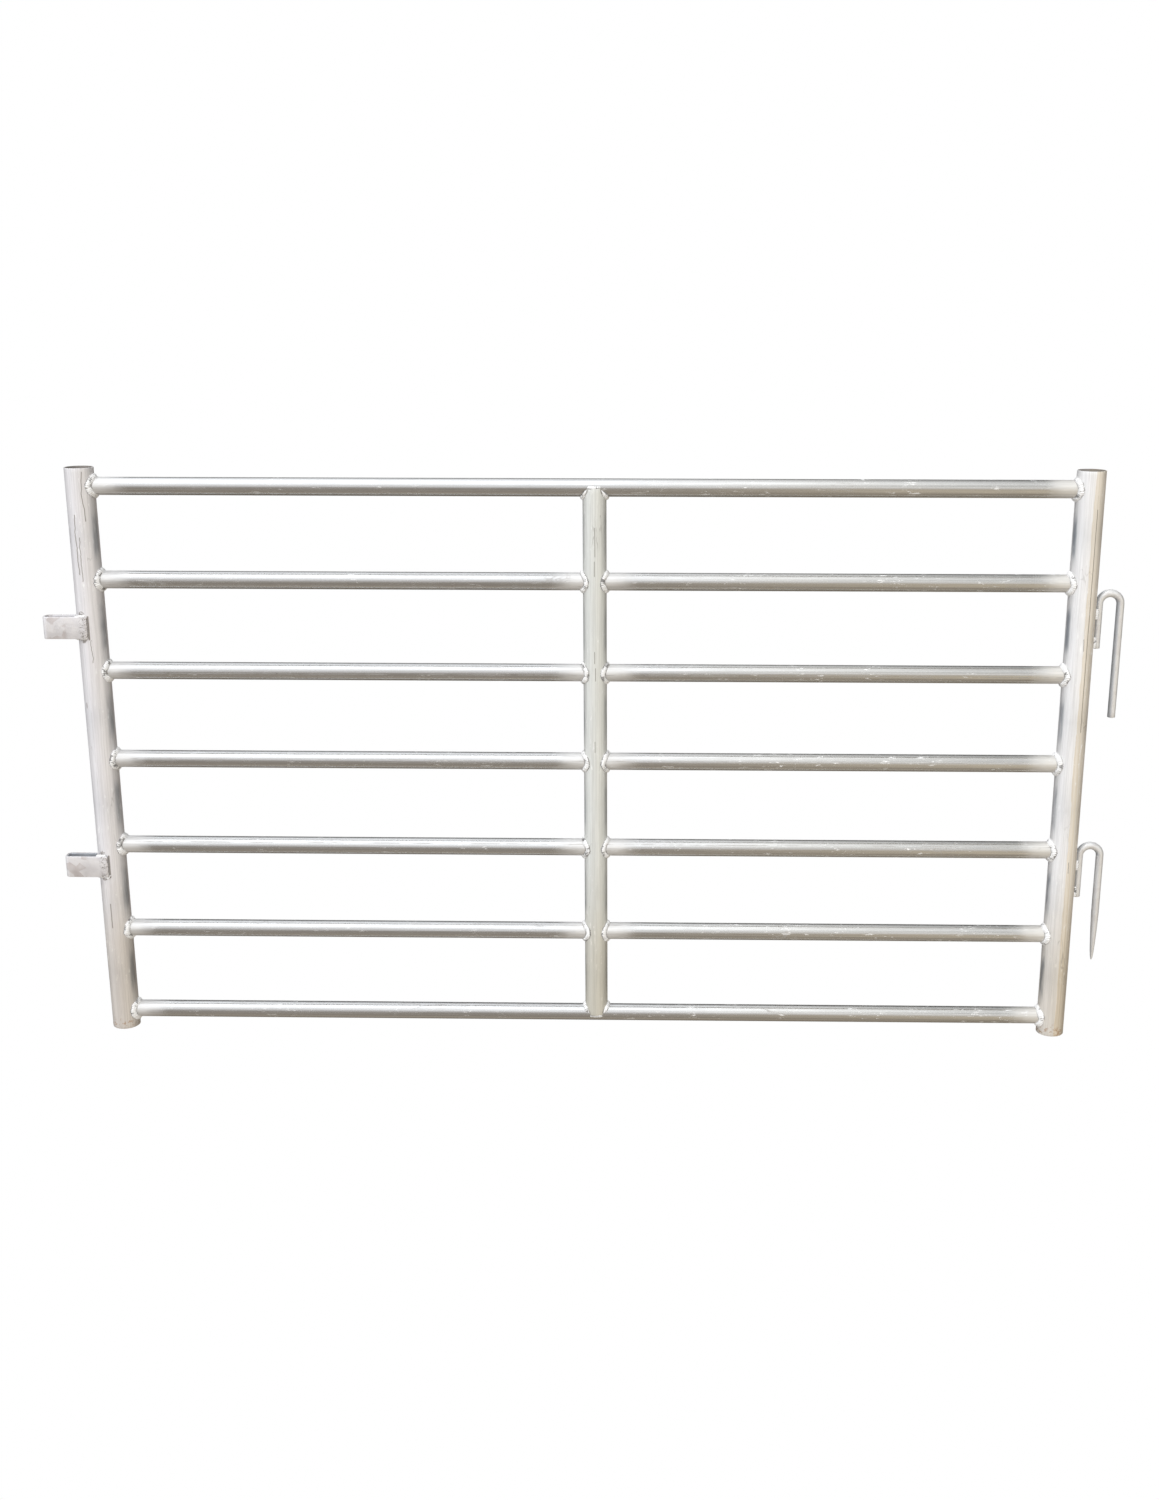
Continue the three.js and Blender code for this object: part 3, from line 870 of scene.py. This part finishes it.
    def scores(self):
        """Fine dark lines from end to end."""
        scored = self.ramp(self.noise(self.lines, 1100, 2, 0.6), 0.66, 0.7, 0.0, 0.3)
        return self.product(scored, self.ramp(self.patches, 0.42, 0.55))

    def seam(self):
        """The tube's own welded seam."""
        line = self.ramp(self.mark("seam_distance"), 0.0002, 0.0011, 0.5, 0.0)
        return self.product(line, self.ramp(self.patches, 0.4, 0.6))

    def dark_marks_and_shade(self, *veins):
        # Painted shade inside the bore.
        bore = self.product(self.mark("bore"), 0.8)
        return self.largest(self.runs(), self.specks(), self.corner_shade(), self.scores(), self.seam(),
                            bore, *[self.product(vein, 0.75) for vein in veins])

    def finish_tube(self, colour, scuff, dark):
        """Adds the dark marks and the painted shade, and dulls the tube under paint, scuffs, marks
        and shade.
        """
        marked = self.largest(scuff, dark)
        shine = self.shine
        rough = self.ramp(self.streak, 0.3, 0.7, 0.46 - 0.28 * shine, 0.6 - 0.32 * shine)
        rough = self.math("ADD", rough, self.ramp(self.patches, 0.3, 0.7, -0.03, 0.04))
        rough = self.blend(marked, self.blend(self.paint, rough, 0.46), 0.7)
        metallic = self.blend(self.paint, 0.25 + 0.72 * shine, 0.3 + 0.35 * shine)
        metallic = self.blend(marked, metallic, 0.2)
        normal = self.bump(self.fine, 0.00002)
        normal = self.bump(self.line, 0.00006, normal)
        pitting = self.noise(self.place, 400, 4, 0.6)
        normal = self.bump(pitting, 0.00006 - 0.00004 * shine, normal)
        normal = self.bump(self.paint, 0.00015, normal)
        return self.finish(self.tint(dark, colour, GRIME_AND_SHADE), rough, metallic, normal)


def galvanised_rail(name):
    """Shiny tube, more scuffed and a little yellower towards the right."""
    m = ZincTube(name, "x", shine=1.0, paint_reach=0.05)
    right_side = m.ramp(m.x, -0.1, 0.5)
    scuff = m.product(m.scuffs(), m.math("MULTIPLY_ADD", right_side, 0.55, 0.45))
    colour = m.tint(scuff, m.shade(right_side, m.base(), RAIL_RIGHT_TINT), SCUFF)
    return m.finish_tube(colour, scuff, m.dark_marks_and_shade())


def galvanised_upright(name, upright, shine, paint_reach, tone, veins, shade_bands, strip=None):
    """A post or the stay: dusty and rusty towards the ground, with dark veins, and with bands of
    painted shade near its edges. strip is where a warm strip begins on the front, in millimetres
    from the upright's axis: partly bare, unpainted zinc and partly a painted reflection of tan
    ground."""
    m = ZincTube(name, "z", shine, paint_reach)
    colour = m.shade(1.0, m.base(), tone)
    if strip is not None:
        # Warm strip: partly bare zinc, partly a painted reflection of tan ground.
        colour = m.shade(m.beyond(upright.x + strip * MM), colour, WARM_STRIP)
    scuff = m.scuffs()
    colour = m.tint(scuff, colour, SCUFF)
    colour = m.shade(m.dust(), colour, DUST)
    colour = m.tint(m.rust(), colour, RUST)
    # Bands of painted shade near the upright's edges.
    for shade_band in shade_bands:
        colour = m.shade(m.shade_band(upright.x, shade_band), colour, PAINTED_SHADE_BLUE)
    lines = [m.vein(upright.x, vein) for vein in veins]
    return m.finish_tube(colour, scuff, m.dark_marks_and_shade(*lines))


def zinc_painted(name, light, dark, flaking):
    """Steel under a coat of silver paint, as on the strap loops and the rod hooks: from light to
    dark in blotches, rough beside the loops' welds, with painted shade in the loops' slots and on
    the hooks' sides that face the post, and flaking from 0, not at all, to 1 in patches away from
    the welds."""
    m = Material(name)
    blotches = m.noise(m.place, 60, 4, 0.6)
    colour = m.tint(m.ramp(blotches, 0.3, 0.7), light, dark)
    distance, number = m.cells(m.place, 62)
    flake = m.product(m.ramp(number, 0.42, 0.44), m.ramp(m.noise(m.place, 20), 0.42, 0.45),
                      m.ramp(m.mark("weld_distance"), 0.034, 0.042),
                      m.ramp(distance, 0.2, 0.6, 0.35 * flaking, 0.65 * flaking))
    colour = m.tint(flake, colour, FLAKED)
    scratches = m.ramp(m.noise(m.scaled((0.15, 1.0, 1.0)), 420, 4, 0.7), 0.66, 0.7)
    colour = m.tint(m.product(scratches, 0.5), colour, SCUFF)
    beside_weld = m.ramp(m.mark("weld_distance"), 0.010, 0.018, 1.0, 0.0)
    wrinkle = m.ramp(m.away(m.noise(m.place, 170, 3, 0.5, 0.8), 0.5), 0.006, 0.03, 0.85, 0.0)
    wrinkle = m.product(wrinkle, beside_weld)
    colour = m.tint(wrinkle, colour, GRIME_AND_SHADE)
    # Painted shade in the loops' slots and on the hooks' sides that face the post.
    colour = m.tint(m.product(m.mark("painted_shade"), 0.8), colour, PAINTED_SHADE_BLUE)
    rough = m.ramp(blotches, 0.3, 0.7, 0.42, 0.58)
    metallic = m.ramp(blotches, 0.3, 0.7, 0.75, 0.6)
    normal = m.bump(m.noise(m.place, 350, 5, 0.6), 0.0001)
    normal = m.bump(blotches, 0.0002, normal)
    normal = m.bump(m.product(m.noise(m.place, 210, 3), beside_weld), 0.0008, normal)
    return m.finish(colour, rough, metallic, normal)


def weld_bead(name):
    """Weld metal under silver paint: bright lumps, with painted shade in the creases and at the
    toes.
    """
    m = Material(name)
    grain = m.noise(m.place, 500, 4, 0.65)
    painted_shade = m.product(m.mark("painted_shade"), m.ramp(m.noise(m.place, 140, 3), 0.3, 0.55))
    colour = m.tint(m.ramp(grain, 0.35, 0.65), grey(0.93), grey(0.80))
    # Painted shade: the creases and toes darkened almost to black.
    colour = m.tint(m.product(painted_shade, 0.88), colour, grey(0.12, 0.04))
    rough = m.blend(painted_shade, m.ramp(grain, 0.3, 0.7, 0.34, 0.5), 0.7)
    metallic = m.blend(painted_shade, 0.25, 0.1)
    normal = m.bump(grain, 0.00025)
    return m.finish(colour, rough, metallic, normal)


# -------------------------------- setting

LENS = 39.6
SENSOR_HEIGHT = 36.0
CAMERA_PLACE = Vector((0.1283, -2.9150, 1.3709))
CAMERA_TILT = math.radians(15.62)  # down
CAMERA_TURN = math.radians(0.89)  # to the left
CAMERA_ROLL = math.radians(0.09)
CAMERA_SHIFT = -0.033  # the photograph is cropped off its middle


def build_camera():
    data = bpy.data.cameras.new("camera")
    data.sensor_fit = "VERTICAL"
    data.sensor_height = SENSOR_HEIGHT
    data.lens = LENS
    data.shift_x = CAMERA_SHIFT
    camera = bpy.data.objects.new("camera", data)
    bpy.context.scene.collection.objects.link(camera)
    turn = Matrix.Rotation(CAMERA_TURN, 4, "Z")
    tilt = Matrix.Rotation(math.pi / 2 - CAMERA_TILT, 4, "X")
    roll = Matrix.Rotation(CAMERA_ROLL, 4, "Z")
    camera.matrix_world = Matrix.Translation(CAMERA_PLACE) @ turn @ tilt @ roll
    bpy.context.scene.camera = camera


FLOOR_SIZE = 60.0
WHITE = (1.0, 1.0, 1.0, 1.0)


def build_floor():
    mesh = bpy.data.meshes.new("floor")
    half = FLOOR_SIZE / 2
    corners = [(-half, -half, 0), (half, -half, 0), (half, half, 0), (-half, half, 0)]
    mesh.from_pydata(corners, [], [(0, 1, 2, 3)])
    floor = bpy.data.objects.new("floor", mesh)
    bpy.context.scene.collection.objects.link(floor)
    m = Material("pale_floor")
    m.shader.inputs["Specular IOR Level"].default_value = 0.0
    m.shader.inputs["Emission Color"].default_value = WHITE
    m.shader.inputs["Emission Strength"].default_value = 1.0
    mesh.materials.append(m.finish((0.0, 0.0, 0.0, 1), 1.0, 0.0, None))
    floor.visible_glossy = False
    floor.visible_diffuse = False
    floor.visible_shadow = False


# The radiance all round, by height: the sine of the elevation from -1 to 1 becomes 0 to 1.
SKY = ((0.0, (0.55, 0.48, 0.39)), (0.06, (0.31, 0.27, 0.225)), (0.35, (0.30, 0.27, 0.235)),
       (0.45, (0.37, 0.34, 0.31)), (0.52, (0.62, 0.60, 0.585)), (0.60, (0.76, 0.75, 0.745)),
       (0.72, (1.05, 1.05, 1.05)), (0.82, (1.35, 1.37, 1.39)), (0.90, (1.70, 1.73, 1.76)),
       (1.0, (1.65, 1.68, 1.72)))
BRIGHT_SIDE = Vector((-0.205, -0.963, 0.174))  # the open sky, in front and a little to the left
DARK_LOW = 0.16  # of the radiance on the far side, at eye level
DARK_HIGH = 0.60  # of the radiance on the far side, overhead and underfoot
DIM_RIGHT = 0.38  # of the radiance overhead, towards the right
YARD = (0.64, 0.565, 0.45, 1.0)  # sunlit tan ground, in front and to the right
LEFT_WALL = (0.85, 0.87, 0.90, 1.0)  # pale walls, far out on both sides
RIGHT_WALL = (0.84, 0.78, 0.66, 1.0)


def build_world():
    """A bright overcast sky over tan ground, which the steel reflects; plain white to the eye."""
    world = bpy.data.worlds.new("sky")
    bpy.context.scene.world = world
    world.use_nodes = True
    world.node_tree.nodes.clear()
    n = Nodes(world.node_tree)
    direction = n.node("TexCoord").outputs["Generated"]
    across, _, height = n.axes(direction)
    share = n.math("MULTIPLY_ADD", height, 0.5, 0.5)
    ramp = n.node("ValToRGB", {0: share})
    for i, (position, colour) in enumerate(SKY):
        stops = ramp.color_ramp.elements
        stop = stops[i] if i < 2 else stops.new(position)
        stop.position = position
        stop.color = (*colour, 1.0)
    facing = n.node("VectorMath", {0: direction, 1: BRIGHT_SIDE},
                    operation="DOT_PRODUCT").outputs["Value"]
    overhead = n.ramp(height, 0.42, 0.85)
    underfoot = n.ramp(height, -0.7, -0.3, 1.0, 0.0)
    darkest = n.blend(n.math("MAXIMUM", overhead, underfoot), DARK_LOW, DARK_HIGH)
    level = n.blend(n.ramp(facing, -0.35, 0.35), darkest, 1.0)
    dim = n.blend(n.ramp(height, 0.3, 0.6), 1.0, n.ramp(across, -0.03, 0.27, 1.0, DIM_RIGHT))
    level = n.product(level, dim)
    yard = n.product(n.ramp(across, -0.02, 0.24), n.ramp(height, -0.92, -0.6),
                     n.ramp(height, -0.05, 0.12, 1.0, 0.0))
    colour = n.tint(yard, ramp.outputs[0], YARD)
    wall = n.product(n.ramp(height, -0.55, -0.35), n.ramp(height, 0.2, 0.4, 1.0, 0.0))
    on_left = n.product(wall, n.ramp(across, -0.75, -0.45, 1.0, 0.0))
    on_right = n.product(wall, n.ramp(across, 0.45, 0.75))
    colour = n.tint(on_left, colour, LEFT_WALL)
    colour = n.tint(on_right, colour, RIGHT_WALL)
    lit = n.node("Background", {"Color": colour, "Strength": level})
    plain = n.node("Background", {"Color": WHITE})
    seen = n.node("LightPath").outputs["Is Camera Ray"]
    mix = n.node("MixShader", {0: seen, 1: lit.outputs[0], 2: plain.outputs[0]})
    n.node("OutputWorld", {"Surface": mix.outputs[0]})


# A soft light: its strength, how wide it is, its tilt from straight down and its turn from the
# front, towards the left when it is negative.
Light = namedtuple("Light", "name strength spread tilt turn")
LIGHTS = (
    Light("key", 1.75, 70, 66, -8),
    Light("behind", 1.3, 70, 62, 180),
)


def build_lights():
    for light in LIGHTS:
        data = bpy.data.lights.new(light.name, "SUN")
        data.energy = light.strength
        data.angle = math.radians(light.spread)
        lamp = bpy.data.objects.new(light.name, data)
        lamp.rotation_euler = (math.radians(light.tilt), 0, math.radians(light.turn))
        lamp.visible_glossy = False
        bpy.context.scene.collection.objects.link(lamp)


# -------------------------------- the panel

# Tones of the left post, the stay and the right post, beside the rails.
LAVENDER = (1.0, 0.985, 1.01, 1.0)
GREENISH = (0.935, 0.955, 0.925, 1.0)
BRIGHT = (1.12, 1.12, 1.13, 1.0)
LOOP_PAINT = ((0.89, 0.875, 0.90, 1.0), (0.82, 0.80, 0.805, 1.0))  # where light, where dark
HOOK_PAINT = (grey(0.90, -0.004), grey(0.82, 0.004))
LEFT_VEINS = (
    Vein(-7, 0.880, 0.985, 1.2, 2.4, 30),
    Vein(-1, 0.868, 0.945, 0.9, 2.0, 45),
    Vein(11, 0.975, 1.060, 0.9, 4.0, 14),
    Vein(-3, 0.208, 0.255, 1.3, 0.8, 18),
    Vein(4, 0.720, 0.760, 0.8, 2.0, 50),
    # The next two veins are painted shadows cast on the post by the ends of the strap loops.
    Vein(1.5, 0.762, 0.804, 2.0, 0.3, 20),
    Vein(1.5, 0.309, 0.351, 2.0, 0.3, 20),
)
RIGHT_VEINS = (
    Vein(9, 0.600, 1.000, 0.9, 1.0, 6),
    Vein(3, 0.750, 0.770, 0.8, 2.0, 40),
    Vein(6, 0.330, 0.350, 0.8, 1.5, 60),
)
STAY_VEINS = (
    Vein(0, 0.880, 0.905, 0.8, 0.2, 9),
    Vein(1, 0.915, 0.965, 0.7, 0.2, 9),
    Vein(0, 0.722, 0.742, 0.8, 0.2, 9),
    Vein(1.5, 0.690, 0.712, 0.8, 0.2, 9),
    Vein(0, 0.556, 0.575, 0.8, 0.2, 9),
)
# Bands of painted shade and painted reflection of dark surroundings, near the uprights' edges.
LEFT_SHADE_BANDS = (ShadeBand(25, 7.5, 0.7),)
RIGHT_SHADE_BANDS = (ShadeBand(-25, 5, 0.95),)
STAY_SHADE_BANDS = (ShadeBand(-21, 5, 0.6), ShadeBand(21, 6, 0.5))


def build_panel():
    left_metal = galvanised_upright("galvanised_left_post", LEFT_POST, 0.3, 0.07, LAVENDER,
                                    LEFT_VEINS, LEFT_SHADE_BANDS)
    right_metal = galvanised_upright("galvanised_right_post", RIGHT_POST, 0.35, 0.07, BRIGHT,
                                     RIGHT_VEINS, RIGHT_SHADE_BANDS, strip=1)
    stay_metal = galvanised_upright("galvanised_stay", STAY, 0.25, 0.11, GREENISH, STAY_VEINS,
                                    STAY_SHADE_BANDS)
    rail_metal = galvanised_rail("galvanised_rail")
    loop_metal = zinc_painted("zinc_painted_loop", *LOOP_PAINT, flaking=1.0)
    hook_metal = zinc_painted("zinc_painted_hook", *HOOK_PAINT, flaking=0.25)
    weld_metal = weld_bead("painted_weld")
    build_posts(left_metal, right_metal)
    build_stay(stay_metal)
    build_rails(rail_metal)
    build_rail_welds(weld_metal)
    build_stay_welds(weld_metal)
    for name, inner_shade in (("upper_loop", 0.2), ("lower_loop", 1.0)):
        build_loop(name, loop_metal, inner_shade)
        build_loop_welds(name, weld_metal, chunky=name == "lower_loop")
    for name in ("upper_hook", "lower_hook"):
        build_hook(name, hook_metal)
        build_hook_welds(name, weld_metal)


build_camera()
build_floor()
build_world()
build_lights()
build_panel()
bpy.context.scene.view_settings.view_transform = "Standard"
